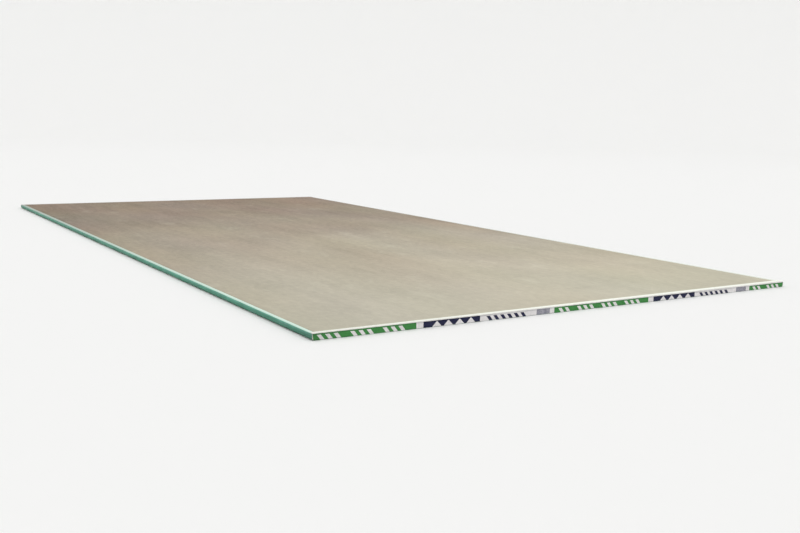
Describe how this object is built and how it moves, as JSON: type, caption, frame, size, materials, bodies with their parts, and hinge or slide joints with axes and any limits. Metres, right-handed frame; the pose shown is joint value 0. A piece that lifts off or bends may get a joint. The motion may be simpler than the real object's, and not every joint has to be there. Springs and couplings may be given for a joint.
{
  "type": "drywall sheet",
  "caption": "Flat moisture-resistant gypsum panel with green face paper, tapered long edges and a paper tape folded over each end, lying back side up.",
  "frame": {"origin": "centre of the footprint, on the plane that the face side rests on", "axes": "+Y along the length, +X across the width, +Z through the thickness towards the back side"},
  "size_m": [1.2192, 2.4388, 0.013],
  "materials": {
    "back_paper": "uncoated recycled liner paper, grey-tan, matte",
    "face_paper": "green water-repellent face paper, folded round the long edges, smooth and matte",
    "gypsum_core": "cut gypsum, off-white and powdery, seen at the ends",
    "end_tape": "white paper tape printed in green, navy and grey blue"
  },
  "bodies": {
    "root": {"drywall_sheet": "back_paper", "end_tape_front": "end_tape", "end_tape_rear": "end_tape"}
  },
  "joints": []
}
